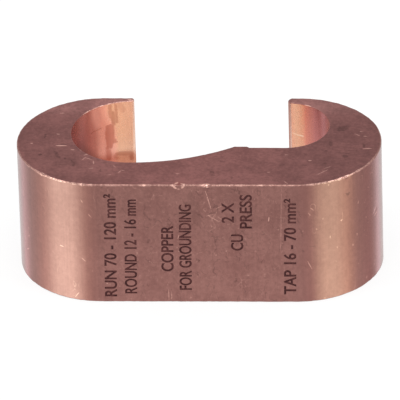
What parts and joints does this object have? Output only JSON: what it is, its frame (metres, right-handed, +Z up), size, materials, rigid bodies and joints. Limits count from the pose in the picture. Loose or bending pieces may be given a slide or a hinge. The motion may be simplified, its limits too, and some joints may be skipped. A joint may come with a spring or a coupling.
{
  "type": "compression ground connector",
  "caption": "One-piece copper C-tap with a deep round groove for a ground rod or run cable and a smaller groove for a tap cable, open at the back to be crimped shut.",
  "frame": {"origin": "middle of the footprint, on the sawn end that the part stands on", "axes": "+X along the spine from the run groove to the tap groove, +Y from the spine face to the mouth, +Z up, along the extruded length"},
  "size_m": [0.0508, 0.0238, 0.019],
  "materials": {
    "copper": "satin drawn copper with sawn ends"
  },
  "bodies": {
    "root": {"connector_body": "copper"}
  },
  "joints": []
}
